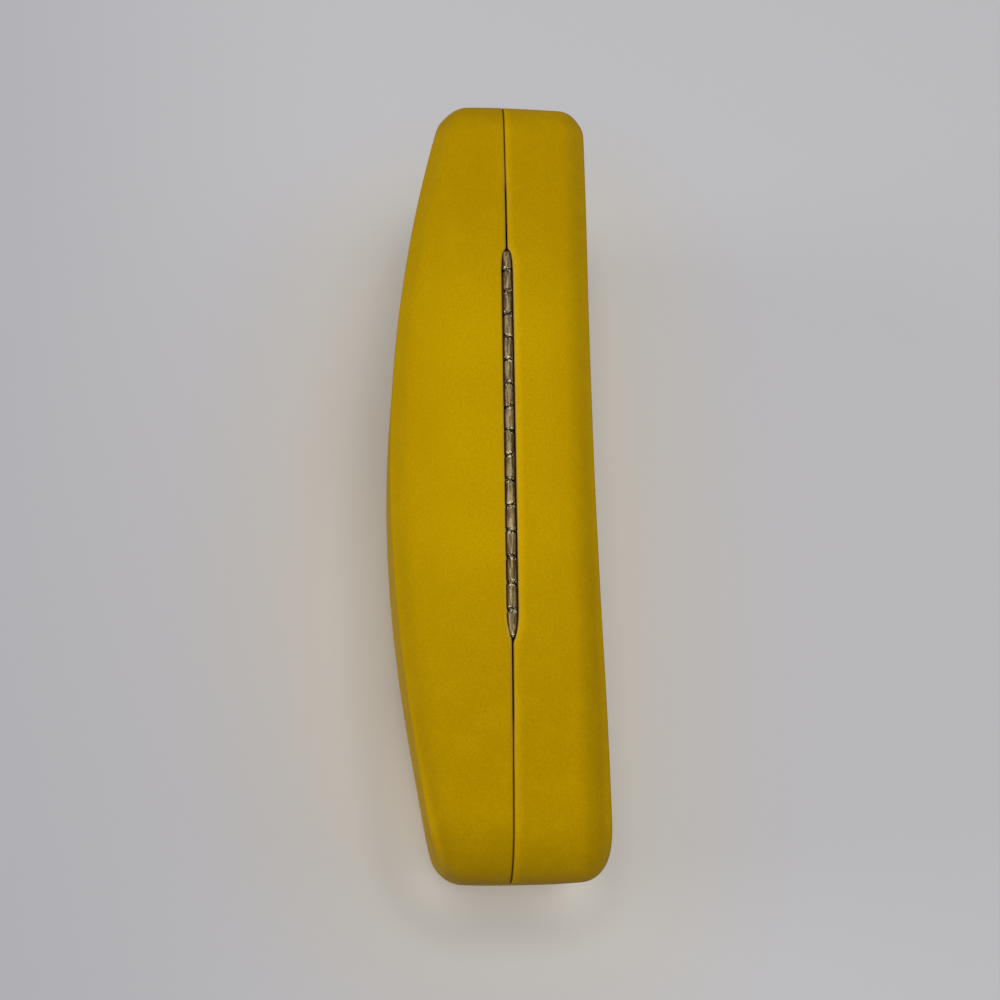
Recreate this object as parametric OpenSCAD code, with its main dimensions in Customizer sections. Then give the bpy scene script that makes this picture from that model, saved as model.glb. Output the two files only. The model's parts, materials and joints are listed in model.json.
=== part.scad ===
// Hard clamshell case for sunglasses.
// It stands on its front rims with the hinge on top: X along the hinge, +Y towards the flat base, Z up.

/* [Case] */
// Length of the case, end to end
case_l = 163; // [150:1:200]
// Depth of the case, from the front to the hinged back
case_d = 64; // [56:1:80]
// Height of the base over the seam
base_h = 17.4; // [16:0.1:24]
// Height of the lid over the seam at mid length
lid_h = 22.8; // [21:0.1:30]
// Drop of the lid's arch from mid length to each end
lid_arch = 10.4; // [4:0.1:12]
// Crown of the lid across its depth
lid_crown = 1.2; // [0.2:0.1:2]
// Radius of the long outer edges
edge_r = 5.5; // [4:0.25:6]
// Radius of the back corners in plan
back_r = 11; // [9:0.5:18]
// Radius of the front corners in plan
front_r = 18; // [12:0.5:24]
// Radius of the shoulders between the hinge and the back corners
shoulder_r = 220; // [90:5:400]

/* [Walls] */
// Thickness of the outer wrap
cover_t = 1.2; // [0.8:0.1:1.6]
// Thickness of the sheet steel shells
shell_t = 0.4; // [0.3:0.05:0.8]
// Thickness of the turned-in flap of the wrap
flap_t = 0.6; // [0.4:0.05:0.9]
// Depth of the turned-in flap, from the rim
flap_l = 6; // [4:0.5:7]
// Thickness of the flocked linings
lining_t = 1; // [0.8:0.1:1.8]
// Radius of the linings' inner edges
lining_r = 3; // [2:0.5:4]
// Distance of the linings' edges from the rims
lining_setback = 2; // [1:0.25:3]
// Thickness of the foam pads
foam_t = 1.5; // [1:0.1:2.5]
// Distance of the foam pads from the rounded edges
foam_inset = 1; // [0.5:0.25:3]
// Layer of glue between two walls
glue = 0.1; // [0.05:0.05:0.2]
// Gap between the two closed rims
seam_gap = 0.2; // [0.1:0.05:0.4]
// Rounding of the outer edge of each rim
rim_r = 0.9; // [0.6:0.1:1.1]

/* [Hinge] */
// Number of knuckles on the pin
knuckles = 16; // [10:2:18]
// Length of one knuckle with its gap
knuckle_pitch = 5; // [4:0.25:5.5]
// Outer diameter of a knuckle
knuckle_d = 2.1; // [1.9:0.1:2.4]
// Gap between neighbouring knuckles
knuckle_gap = 0.16; // [0.1:0.02:0.3]
// Chamfer at the ends of a knuckle
knuckle_chamfer = 0.16; // [0.05:0.01:0.3]
// Radius of the closed tips of the two end knuckles
tip_r = 0.6; // [0.4:0.05:0.8]
// Diameter of the hinge pin
pin_d = 1; // [0.8:0.05:1.2]
// Distance of the pin's ends from the knuckle tips
pin_inset = 2.4; // [1.6:0.1:3]
// Radial clearance of the pin in the knuckles
pin_play = 0.05; // [0.02:0.01:0.08]
// Depth of the pin's axis under the back of the case
axis_depth = 0.5; // [0.3:0.05:0.6]
// Thickness of the hinge leaves
leaf_t = 0.5; // [0.4:0.05:0.7]
// Width of the leaves past the edges of the gusset
leaf_margin = 0.6; // [0.3:0.1:1]
// Gap between the knuckles and the rims beside them
slot_play = 0.15; // [0.1:0.05:0.4]
// Half gap of the rims just past the hinge
tip_gap = 0.3; // [0.2:0.05:0.4]
// Straight back beyond each end of the hinge
flat_extra = 3; // [2:0.5:4]

/* [Rivets] */
// Diameter of a rivet's shank
rivet_d = 1.8; // [1.4:0.1:2]
// Diameter of a rivet's head
rivet_head_d = 2.4; // [2.2:0.1:2.6]
// Thickness of a rivet's head
rivet_head_t = 0.4; // [0.3:0.05:0.5]
// Clearance round a rivet's shank
rivet_play = 0.05; // [0.02:0.01:0.1]
// Distance of the outer rivets from the hinge's ends
rivet_end = 4; // [3:0.5:5]

/* [Snap springs] */
// Thickness of the spring strip
spring_t = 0.3; // [0.2:0.05:0.4]
// Width of one spring strip, along the hinge
spring_w = 23; // [16:1:24]
// Gap between the two springs
spring_gap = 17; // [12:1:20]
// Distance of a hook's outer face from the seam
hook_y = 5.5; // [5:0.1:5.8]
// Height of a hook over its leaf
hook_h = 1.1; // [0.9:0.1:1.3]
// Gap between a spring and its hooks
spring_play = 0.05; // [0.02:0.01:0.1]

/* [Gusset] */
// Thickness of the fabric strip over the hinge
gusset_t = 0.6; // [0.4:0.1:0.9]
// Width of its glued edges
gusset_flange = 1.1; // [0.8:0.1:1.4]
// Distance of its edges from the spring's hooks
gusset_reach = 2.6; // [2.4:0.1:2.8]
// Gap between the strip and what it covers
gusset_play = 0.35; // [0.3:0.05:0.6]
// Gap between its edges and the linings
gusset_joint = 0.2; // [0.1:0.05:0.4]
// Length over which it sinks at each end
gusset_fall = 5; // [3:0.5:7]

/* [Hidden] */
$fn = 48;

yellow = "#e0ad00";
steel = "#9a968c";
felt = "#3a302b";
foam = "#d8d4c8";

// Place of the seam, so that the case is centred on the origin
seam_y = (lid_h + lid_crown - base_h) / 2;

// Insets of the nested walls from the outside of the case
shell_out = cover_t + glue;
shell_in = shell_out + shell_t;
flap_out = shell_in + glue;
flap_in = flap_out + flap_t;
lining_out = max(flap_in, shell_in + leaf_t) + glue;
lining_in = lining_out + lining_t;
lining_floor = shell_in + foam_t + 2 * glue;

// Hinge
hinge_l = knuckles * knuckle_pitch;
knuckle_r = knuckle_d / 2;
bore_r = pin_d / 2 + pin_play;
axis_z = case_d - axis_depth;
leaf_z = case_d - shell_in;
gusset_edge = hook_y + gusset_reach;
leaf_w = gusset_edge + leaf_margin;
slot_half = knuckle_r + slot_play;
leaf_start = slot_half;
strap_in = knuckle_r - 0.1 * leaf_t;
tip_half = tip_r + slot_play;
rivet_x = hinge_l / 2 - rivet_end;
rivet_y = (slot_half + cover_t + hook_y - leaf_t) / 2;
spring_x = (spring_gap + spring_w) / 2;

// Snap spring: its centre lies level with the middle of the hooks
hook_z = leaf_z - leaf_t;
spring_z = hook_z - hook_h / 2;
spring_r = hook_y + spring_play;
spring_end = 0.3;

// Gusset over the hinge
gusset_foot = gusset_edge - gusset_flange;
gusset_z = hook_z - glue / 2;
gusset_sag = gusset_z - (spring_z - spring_r - spring_t - gusset_play);
gusset_low = 0.9;
gusset_half = hinge_l / 2 + flat_extra;
lining_notch = gusset_edge + gusset_joint;

// Half gap between the rims along the back, from mid length outwards
slot_table = [[0, slot_half], [hinge_l / 2 - 0.85 * knuckle_pitch, slot_half], [hinge_l / 2, tip_half],
    [hinge_l / 2 + 0.8, tip_gap], [hinge_l / 2 + 25, seam_gap / 2], [case_l, seam_gap / 2]];

// Plan outline: stations [x, z, normal x, normal z, 1 beside the hinge] from mid back to mid front
flat_half = hinge_l / 2 + flat_extra;
shoulder_a = asin((case_l / 2 - back_r - flat_half) / (shoulder_r - back_r));
corner_x = case_l / 2 - back_r;
corner_z = case_d - shoulder_r * (1 - cos(shoulder_a)) - back_r * cos(shoulder_a);
front_x = case_l / 2 - front_r;
corner_steps = 8;
flat_x = [0, 0.3, 0.6, 0.87, 0.94, 1];
back_flat = concat([for (t = flat_x) [t * hinge_l / 2, case_d, 0, 1, 1]],
    [for (x = [hinge_l / 2 + 0.8, flat_half]) [x, case_d, 0, 1, 1]]);
shoulder = [for (t = [0.08, 0.3, 0.55, 0.8]) let (a = t * shoulder_a)
    [flat_half + shoulder_r * sin(a), case_d - shoulder_r * (1 - cos(a)), sin(a), cos(a), 0]];
back_corner = [for (i = [0:corner_steps]) let (a = (90 - shoulder_a) * (1 - i / corner_steps))
    [corner_x + back_r * cos(a), corner_z + back_r * sin(a), cos(a), sin(a), 0]];
end_wall = [[case_l / 2, (corner_z + front_r) / 2, 1, 0, 0]];
front_corner = [for (i = [0:corner_steps]) let (a = -90 * i / corner_steps)
    [front_x + front_r * cos(a), front_r + front_r * sin(a), cos(a), sin(a), 0]];
front_flat = [for (t = [0.75, 0.5, 0.25, 0]) [t * front_x, 0, 0, -1, 0]];
right_half = concat(back_flat, shoulder, back_corner, end_wall, front_corner, front_flat);
last = len(right_half) - 1;
outline = concat(right_half, [for (i = [1:last - 1]) let (s = right_half[last - i]) [-s[0], s[1], -s[2], s[3], s[4]]]);

// Height of the lid or the base over the seam
arch_r = (pow(case_l / 2, 2) + pow(lid_arch, 2)) / (2 * lid_arch);
function lid_top(x) = lid_h - arch_r + sqrt(pow(arch_r, 2) - pow(x, 2));
function crown(x, z) = lid_crown * max(0, 1 - pow((z - case_d / 2) / (case_d / 2 - edge_r), 2))
    * max(0, 1 - pow(x / (case_l / 2 - edge_r), 2));
function top_at(side, x, z) = side < 0 ? lid_top(x) + crown(x, z) : base_h;

// Half gap of the rims at a station of the outline
function rim_at(s) = s[1] > case_d / 2 && s[3] > 0 ? lookup(abs(s[0]), slot_table) : seam_gap / 2;

// One station moved in from the outline by an inset and set at a height over the seam
function inset_point(s, inset, h, side) = [s[0] - inset * s[2], side * h, s[1] - inset * s[3]];

// A ring round the walls: its inset and height come from [inset, height] for each station
function wall_ring(side, spec) = [for (i = [0:len(outline) - 1])
    inset_point(outline[i], spec[i][0], spec[i][1], side)];

// Rings over the rounded edge of a wall at inset w with its top t lower than the outside
edge_steps = 4;
function edge_rings(side, w, t, r) = let (a = max(edge_r - w, r), b = max(edge_r - t, r))
    [for (k = [0:edge_steps]) let (q = 90 * k / edge_steps, inset = w + a * (1 - cos(q)))
        [for (s = outline) let (p = inset_point(s, inset, 0, side))
            [p[0], side * (top_at(side, p[0], p[2]) - t - b * (1 - sin(q))), p[2]]]];

// Ring on the top face t under the outside: the outline moved in by an inset, then shrunk by a factor
function top_ring(side, inset, t, f) = [for (s = outline) let (p = inset_point(s, inset, 0, side),
    x = p[0] * f, z = case_d / 2 + (p[2] - case_d / 2) * f) [x, side * (top_at(side, x, z) - t), z]];
top_shrink = [0.82, 0.58, 0.3];
function top_rings(side, w, t, r) = [for (f = top_shrink) top_ring(side, max(edge_r, w + r), t, f)];

function turned(list) = [for (i = [len(list) - 1:-1:0]) list[i]];
function pole(side, t) = [0, side * (top_at(side, 0, case_d / 2) - t), case_d / 2];

// A closed solid through a stack of rings, down its outer face and back up its inner face.
// Both faces are cut into triangles the same way, so nested walls stay parallel.
module ring_solid(first, rings, last_pole, side) {
    n = len(rings[0]);
    m = len(rings);
    points = concat([for (ring = rings) each ring], [first, last_pole]);
    body = [for (i = [0:m - 2], j = [0:n - 1]) let (k = (j + 1) % n,
        a = i * n + j, b = i * n + k, c = (i + 1) * n + j, d = (i + 1) * n + k)
        each i < m / 2 ? [[a, b, d], [a, d, c]] : [[a, b, c], [b, d, c]]];
    caps = [for (j = [0:n - 1]) let (k = (j + 1) % n)
        each [[m * n, k, j], [m * n + 1, (m - 1) * n + j, (m - 1) * n + k]]];
    faces = concat(body, caps);
    polyhedron(points, side > 0 ? faces : [for (f = faces) turned(f)]);
}

// A tray between two walls: [inset, drop of the top, least edge radius] outside and inside, and its rim
module tray(side, outside, inside, rim) {
    lip = [for (i = [0:len(outline) - 1]) [outside[0], rim[i]]];
    inner_lip = [for (i = [0:len(outline) - 1]) [inside[0], rim[i]]];
    rings = concat(turned(top_rings(side, outside[0], outside[1], outside[2])),
        turned(edge_rings(side, outside[0], outside[1], outside[2])),
        [wall_ring(side, lip)], [wall_ring(side, inner_lip)],
        edge_rings(side, inside[0], inside[1], inside[2]), top_rings(side, inside[0], inside[1], inside[2]));
    ring_solid(pole(side, outside[1]), rings, pole(side, inside[1]), side);
}

// Wrap: outer skin, rounded rim, and a flap turned in over the shell's edge, which is cut away at the hinge
module cover(side) {
    fine = 0.1;
    rim = [for (s = outline) rim_at(s)];
    flap = [for (s = outline) s[4] > 0 ? [shell_in, shell_in, cover_t - 2 * fine, cover_t - fine]
        : [flap_in, flap_out, flap_l, flap_l]];
    n = len(outline);
    rounding = [for (q = [90, 45, 0]) wall_ring(side, [for (i = [0:n - 1])
        [rim_r * (1 - sin(q)), rim[i] + rim_r * (1 - cos(q))]])];
    lips = [wall_ring(side, [for (i = [0:n - 1]) [flap[i][0] - fine, rim[i]]]),
        wall_ring(side, [for (i = [0:n - 1]) [flap[i][0], rim[i] + fine]]),
        wall_ring(side, [for (i = [0:n - 1]) [flap[i][0], rim[i] + flap[i][2]]]),
        wall_ring(side, [for (i = [0:n - 1]) [flap[i][1], rim[i] + flap[i][3]]]),
        wall_ring(side, [for (i = [0:n - 1]) [flap[i][1], rim[i] + cover_t]]),
        wall_ring(side, [for (i = [0:n - 1]) [cover_t, rim[i] + cover_t]])];
    rings = concat(turned(top_rings(side, 0, 0, 0)), turned(edge_rings(side, 0, 0, 0)),
        rounding, lips, edge_rings(side, cover_t, cover_t, 0), top_rings(side, cover_t, cover_t, 0));
    color(yellow) ring_solid(pole(side, 0), rings, pole(side, cover_t), side);
}

module shell(side) {
    rim = [for (s = outline) rim_at(s) + cover_t + glue];
    color(steel) difference() {
        tray(side, [shell_out, shell_out, 0], [shell_in, shell_in, 0], rim);
        rivet_places(side) translate([0, 0, -1]) cylinder(r = rivet_d / 2 + rivet_play, h = shell_t + leaf_t + 2);
    }
}

module lining(side) {
    rim = [for (s = outline) s[4] > 0 ? lining_notch : seam_gap / 2 + lining_setback];
    color(felt) tray(side, [lining_out, lining_floor, glue], [lining_in, lining_floor + lining_t, lining_r], rim);
}

// Foam pad between the shell and the lining's floor
module pad(side) {
    t0 = shell_in + glue;
    t1 = t0 + foam_t;
    share = foam_inset / ((1 - top_shrink[0]) * (case_d / 2 - edge_r));
    function border(t) = (1 - share) * top_ring(side, edge_r, t, 1) + share * top_ring(side, edge_r, t, top_shrink[0]);
    rings = concat(turned(top_rings(side, 0, t0, 0)), [border(t0), border(t1)], top_rings(side, 0, t1, 0));
    color(foam) ring_solid(pole(side, t0), rings, pole(side, t1), side);
}

// Places something along X with its profile drawn in Y and Z
module along_x(x, length) {
    translate([x, 0, 0]) rotate([90, 0, 90]) linear_extrude(length) children();
}

// Rolled knuckle on the pin's axis, with a closed cone at one end when it is the last one
module knuckle(i) {
    c = knuckle_chamfer;
    length = knuckle_pitch - knuckle_gap;
    x = -hinge_l / 2 + i * knuckle_pitch + knuckle_gap / 2;
    closed = i == 0 || i == knuckles - 1;
    plain = [[bore_r, 0], [knuckle_r - c, 0], [knuckle_r, c], [knuckle_r, length - c],
        [knuckle_r - c, length], [bore_r, length]];
    tapered = [[bore_r, 0], [knuckle_r - c, 0], [knuckle_r, c], [tip_r, length], [0, length],
        [0, length - pin_inset], [bore_r, length - pin_inset]];
    translate([i == 0 ? x + length : x, 0, axis_z]) rotate([0, i == 0 ? -90 : 90, 0])
        rotate_extrude() polygon(closed ? tapered : plain);
}

// Hinge leaf: a flat plate on the shell, with every second knuckle on a bent strap
module leaf(side) {
    parity = side > 0 ? 1 : 0;
    length = knuckle_pitch - knuckle_gap;
    hook_l = spring_w - 2;
    color(steel) difference() {
        union() {
            translate([-hinge_l / 2, side > 0 ? leaf_start : -leaf_w, leaf_z - leaf_t])
                cube([hinge_l, leaf_w - leaf_start, leaf_t]);
            for (i = [parity:2:knuckles - 1]) strap(side, i);
            for (x = [-spring_x, spring_x])
                translate([x - hook_l / 2, side > 0 ? hook_y - leaf_t : -hook_y, hook_z - hook_h])
                    cube([hook_l, leaf_t, hook_h + leaf_t / 2]);
        }
        for (x = [-spring_x, spring_x])
            translate([x - hook_l / 2, side > 0 ? hook_y : -hook_y - hook_h, hook_z - 1])
                cube([hook_l, hook_h, leaf_t + 2]);
        translate([-hinge_l / 2 + pin_inset, 0, axis_z]) rotate([0, 90, 0])
            cylinder(r = bore_r, h = hinge_l - 2 * pin_inset);
        rivet_places(side) translate([0, 0, -1]) cylinder(r = rivet_d / 2 + rivet_play, h = shell_t + leaf_t + 2);
    }
}

// Knuckle with the strap that joins it to the plate
module strap(side, i) {
    c = knuckle_chamfer;
    length = knuckle_pitch - knuckle_gap - 2 * c;
    x = -hinge_l / 2 + i * knuckle_pitch + knuckle_gap / 2 + c;
    closed = i == 0 || i == knuckles - 1;
    short = closed ? length * 0.4 : length;
    knuckle(i);
    translate([i == 0 ? x + length - short : x, 0, 0]) {
        translate([0, side > 0 ? strap_in - leaf_t : -strap_in, leaf_z - leaf_t])
            cube([short, leaf_t, axis_z - leaf_z + leaf_t]);
        translate([0, side > 0 ? strap_in - leaf_t : -leaf_start - leaf_t, leaf_z - leaf_t])
            cube([short, leaf_start + 2 * leaf_t - strap_in, leaf_t]);
    }
}

// Puts its children at each rivet, starting at the leaf's inner face
module rivet_places(side) {
    for (x = [-rivet_x, 0, rivet_x]) translate([x, side * rivet_y, leaf_z - leaf_t]) children();
}

module rivets(side) {
    color(steel) rivet_places(side) {
        cylinder(r = rivet_d / 2, h = leaf_t + shell_t);
        translate([0, 0, -rivet_head_t]) cylinder(r = rivet_head_d / 2, h = rivet_head_t);
    }
}

module pin() {
    length = hinge_l - 2 * pin_inset - 4 * pin_play;
    color(steel) translate([-length / 2, 0, axis_z]) rotate([0, 90, 0]) cylinder(r = pin_d / 2, h = length);
}

// Bent spring strip that grips the hooks of both leaves from outside
module snap_spring(x) {
    color(steel) along_x(x - spring_w / 2, spring_w) translate([0, spring_z]) difference() {
        circle(r = spring_r + spring_t, $fn = 96);
        circle(r = spring_r, $fn = 96);
        translate([-2 * spring_r, spring_end]) square(4 * spring_r);
    }
}

// Fabric strip that arches over the springs and sinks at its two ends
module gusset() {
    steps = 12;
    fall = [[1, 0.55], [0.4, 0.2], [0, 0]];
    full = spring_x + spring_w / 2 + gusset_play;
    span = concat([[0, 1], [full, 1]], [for (f = fall) [gusset_half - f[0] * gusset_fall, f[1]]]);
    xs = [for (i = [len(span) - 1:-1:1]) -span[i][0], for (s = span) s[0]];
    function arc(sag, lift) = let (r = (pow(gusset_foot, 2) + pow(sag, 2)) / (2 * sag),
        a = sag >= gusset_foot ? 180 - asin(gusset_foot / r) : asin(gusset_foot / r))
        [for (k = [0:steps]) let (q = a * (2 * k / steps - 1))
            [(r + lift) * sin(q), gusset_z - sag + r - (r + lift) * cos(q)]];
    function section(x) = let (sag = gusset_low + (gusset_sag - gusset_low) * lookup(abs(x), span),
        upper = arc(sag, 0), lower = arc(sag, gusset_t))
        concat([[-gusset_edge, gusset_z]], upper, [[gusset_edge, gusset_z], [gusset_edge, gusset_z - gusset_t]],
            turned([for (p = lower) [p[0], min(p[1], gusset_z - gusset_t)]]), [[-gusset_edge, gusset_z - gusset_t]]);
    n = 2 * steps + 6;
    m = len(xs);
    points = [for (x = xs) for (p = section(x)) [x, p[0], p[1]]];
    sides = [for (i = [0:m - 2], j = [0:n - 1]) let (k = (j + 1) % n)
        each [[i * n + j, i * n + k, (i + 1) * n + k], [i * n + j, (i + 1) * n + k, (i + 1) * n + j]]];
    half = steps + 2;
    ends = [for (e = [0, m - 1], j = [0:half - 1]) let (a = e * n + j, b = a + 1, c = e * n + n - 2 - j, d = c + 1)
        each e == 0 ? [[a, c, b], [a, d, c]] : [[a, b, c], [a, c, d]]];
    color(felt) polyhedron(points, concat(sides, ends));
}

// Moves a piece from the seam to its place in the part
module seated() {
    translate([0, seam_y, 0]) children();
}

seated() cover(1);  // base_cover
seated() shell(1);  // base_shell
seated() pad(1);  // base_foam
seated() lining(1);  // base_lining
seated() cover(-1);  // lid_cover
seated() shell(-1);  // lid_shell
seated() pad(-1);  // lid_foam
seated() lining(-1);  // lid_lining
seated() leaf(1);  // hinge_leaf_base
seated() leaf(-1);  // hinge_leaf_lid
seated() pin();  // hinge_pin
seated() rivets(1);  // hinge_rivets_base
seated() rivets(-1);  // hinge_rivets_lid
seated() snap_spring(-spring_x);  // snap_spring_left
seated() snap_spring(spring_x);  // snap_spring_right
seated() gusset();  // hinge_gusset
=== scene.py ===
import json
import math

import bmesh
import bpy
from mathutils import Matrix, Vector, noise


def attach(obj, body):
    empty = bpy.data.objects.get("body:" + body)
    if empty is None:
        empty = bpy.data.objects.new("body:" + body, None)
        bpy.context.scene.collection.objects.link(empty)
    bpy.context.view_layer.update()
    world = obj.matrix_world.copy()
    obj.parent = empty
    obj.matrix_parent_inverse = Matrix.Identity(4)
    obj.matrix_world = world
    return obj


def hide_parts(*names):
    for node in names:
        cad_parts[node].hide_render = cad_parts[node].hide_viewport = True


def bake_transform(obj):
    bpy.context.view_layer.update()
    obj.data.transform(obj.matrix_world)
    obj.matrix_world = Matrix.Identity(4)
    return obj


# Hard clamshell case for sunglasses. It stands on its front rims with the hinge on top:
# X along the hinge, +Y from the lid to the flat base, +Z up. Sizes here are in millimetres.

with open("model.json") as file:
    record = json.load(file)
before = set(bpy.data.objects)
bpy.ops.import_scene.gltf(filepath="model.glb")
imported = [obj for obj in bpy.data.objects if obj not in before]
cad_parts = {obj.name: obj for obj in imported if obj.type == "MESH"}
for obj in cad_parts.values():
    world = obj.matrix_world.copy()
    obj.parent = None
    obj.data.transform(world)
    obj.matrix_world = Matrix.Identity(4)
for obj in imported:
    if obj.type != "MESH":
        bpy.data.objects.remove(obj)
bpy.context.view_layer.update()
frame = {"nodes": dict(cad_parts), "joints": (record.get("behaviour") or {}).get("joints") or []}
mm = 0.001
hingeAxis = Vector(frame["joints"][0]["pos_m"]) / mm
seamY = hingeAxis.y
lidSide, baseSide = -1, 1


# Shader tools

class Num:
    # wraps a number socket, so that sums and products of sockets add their own Math nodes
    def __init__(self, finish, socket):
        self.finish = finish
        self.socket = socket

    def maths(self, operation, first, second):
        made = self.finish.node("ShaderNodeMath", {"operation": operation}, {0: first, 1: second})
        return Num(self.finish, made.outputs[0])

    def __add__(self, other):
        return self.maths("ADD", self, other)

    def __sub__(self, other):
        return self.maths("SUBTRACT", self, other)

    def __rsub__(self, other):
        return self.maths("SUBTRACT", other, self)

    def __mul__(self, other):
        return self.maths("MULTIPLY", self, other)

    def __truediv__(self, other):
        return self.maths("DIVIDE", self, other)

    def __rtruediv__(self, other):
        return self.maths("DIVIDE", other, self)

    def __abs__(self):
        return self.maths("ABSOLUTE", self, 0)

    def __pow__(self, other):
        return self.maths("POWER", self, other)

    def __rpow__(self, other):
        return self.maths("POWER", other, self)

    def larger(self, other):
        return self.maths("MAXIMUM", self, other)

    __radd__ = __add__
    __rmul__ = __mul__


class Finish:
    # one material: a Principled shader and the nodes that feed it
    def __init__(self, name, **constants):
        self.material = bpy.data.materials.new(name)
        self.material.use_nodes = True
        self.tree = self.material.node_tree
        self.shader = self.tree.nodes["Principled BSDF"]
        for socket, value in constants.items():
            self.shader.inputs[socket.replace("_", " ")].default_value = value
        self.place = Num(self, self.node("ShaderNodeTexCoord", {}, {}).outputs["Object"])

    def node(self, kind, settings, sockets):
        made = self.tree.nodes.new(kind)
        made.location = (-220 * (len(self.tree.nodes) % 9 + 1), -180 * (len(self.tree.nodes) // 9))
        for setting, value in settings.items():
            setattr(made, setting, value)
        byName = {s.identifier: s for s in made.inputs}
        for key, value in sockets.items():
            target = made.inputs[key] if isinstance(key, int) else byName.get(key) or made.inputs[key]
            self.feed(target, value)
        return made

    def feed(self, target, value):
        if isinstance(value, Num):
            value = value.socket
        if isinstance(value, bpy.types.NodeSocket):
            self.tree.links.new(value, target)
        else:
            target.default_value = value

    def noise(self, size, detail=2.0, roughness=0.5, place=None):
        made = self.node("ShaderNodeTexNoise", {}, {
            "Vector": place or self.place, "Scale": 1 / (size * mm),
            "Detail": detail, "Roughness": roughness})
        return Num(self, made.outputs["Fac"])

    def stretched(self, factors):
        made = self.node("ShaderNodeVectorMath", {"operation": "MULTIPLY"}, {0: self.place, 1: factors})
        return Num(self, made.outputs["Vector"])

    def axes(self):
        made = self.node("ShaderNodeSeparateXYZ", {}, {"Vector": self.place})
        return [Num(self, made.outputs[axis]) for axis in "XYZ"]

    def between(self, value, ends):
        # a mask that goes smoothly from 0 at the first end to 1 at the second
        made = self.node("ShaderNodeMapRange", {"interpolation_type": "SMOOTHSTEP"}, {
            "Value": value, "From Min": ends[0], "From Max": ends[1]})
        return Num(self, made.outputs["Result"])

    def within(self, place, ends):
        # the same for a place on the object, with the ends in millimetres
        return self.between(place, (ends[0] * mm, ends[1] * mm))

    def mixed(self, share, first, second, blend="MIX"):
        made = self.node("ShaderNodeMix", {"data_type": "RGBA", "blend_type": blend}, {
            "Factor_Float": share, "A_Color": first, "B_Color": second})
        return made.outputs[2]  # the colour result

    def scaled(self, colour, factor):
        # a colour made lighter or darker by a number
        made = self.node("ShaderNodeVectorMath", {"operation": "SCALE"}, {0: colour, "Scale": factor})
        return made.outputs["Vector"]

    def bumped(self, height, depth):
        made = self.node("ShaderNodeBump", {}, {"Height": height, "Distance": depth * mm})
        return made.outputs["Normal"]

    def paint(self, colour, roughness, normal, metallic=None):
        self.feed(self.shader.inputs["Base Color"], colour)
        self.feed(self.shader.inputs["Roughness"], roughness)
        self.feed(self.shader.inputs["Normal"], normal)
        if metallic:
            self.feed(self.shader.inputs["Metallic"], metallic)
        return self.material


def dress(piece, material):
    piece.data.materials.clear()
    piece.data.materials.append(material)


def dressNode(name, material):
    for materialSlot in frame["nodes"][name].material_slots:
        materialSlot.material = material


# Finishes

wrapLook = {
    "yellow": (0.518, 0.306, 0.0007, 1),  # at the ends of the case
    "midYellow": (0.655, 0.401, 0.0008, 1),  # painted light: a little paler over the middle, where the lamp falls most
    "deepYellow": (0.485, 0.280, 0.0006, 1),
    "paleYellow": (0.615, 0.378, 0.0011, 1),
    # painted shade colours for the folds, the slot walls and the seam
    "fold": (0.085, 0.021, 0.001, 1), "slotWall": (0.16, 0.042, 0.003, 1),
    "rimEdge": (0.60, 0.385, 0.06, 1),  # the thin paler edge of both rims
    "speck": (0.23, 0.13, 0.01, 1),
    "sheen": (1.0, 0.72, 0.02, 1), "gloss": 0.05,
    "grainSize": 0.42, "fineGrain": 0.4, "mottleSize": 5.0, "cloudSize": 38.0,
    "grainShade": 0.36, "fineShade": 0.40, "cloudShade": 0.35, "mottleShade": 0.3,
    "roughness": 0.66, "grainRough": 0.16, "mottleRough": 0.1, "grainDepth": 0.045,
    "speckSpacing": 6.5, "speckSize": 0.16, "speckBlur": (0.006, -0.006), "speckShade": 0.7,
    "cloud": (0.62, 0.38), "mottle": (0.45, 0.72),
}
# Where the wrap carries painted light and painted shade, and its thin paler rim edges. Each pair is a mask in
# millimetres, none at its first number and full
# at its second: along from mid length, side from the seam towards the base, deep from the hinged back.
wrapMarksAndPaintedLight = {
    "litCentre": 1.0, "litAlong": (62, 5), "litBase": (15, 5), "litLid": (-22, -8), "litFar": 0.4,
    "openAlong": (41.4, 36), "baseRim": 1.24, "lidRim": 0.9,
    "highlightAway": (1.9, 0.2), "highlightStart": (0, 0.03), "highlightShade": 0.22,
    "paleEdgeAlong": (68, 55), "paleEdgeAway": (0.5, 0.2), "paleEdgeStart": (-0.05, 0), "paleEdgeShare": 0.6,
    "endAlong": (69, 75), "endLid": (0.5, -0.5), "endShade": 0.06, "lidEndShade": 0.045,
    "slopeInner": (10.5, 14), "slopeOuter": (16.8, 15.2), "slopeDeep": (8, 5), "slopeAlong": (-45, 50),
    "slopeShade": 0.10, "leastSlope": 0.02,
    "flankMiddle": 19.5, "flankBow": 600, "flankAway": (1.5, 0.4), "flankSide": (0, -1), "flankDeep": (2, 6),
    "flankAlong": (-60, 60), "flankLightShare": 0.24,
    "creaseShadowBeside": (0.5, 0.1), "creaseShadowShare": 0.15, "backDeep": (9, 5),
    "slotDeep": (0.4, 1.0), "slotBeside": (2.4, 1.7), "slotAlong": (46, 42), "slotShade": 0.9,
    "seamDeep": (0.32, 0.65), "seamBeside": (0.8, 0.5), "seamAlong": (57, 51), "seamShade": 0.8,
    "lineDeep": (14, 11), "lineBeside": (0.26, 0.10), "lineAlong": (57, 66), "lineShade": 0.55,
}


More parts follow.
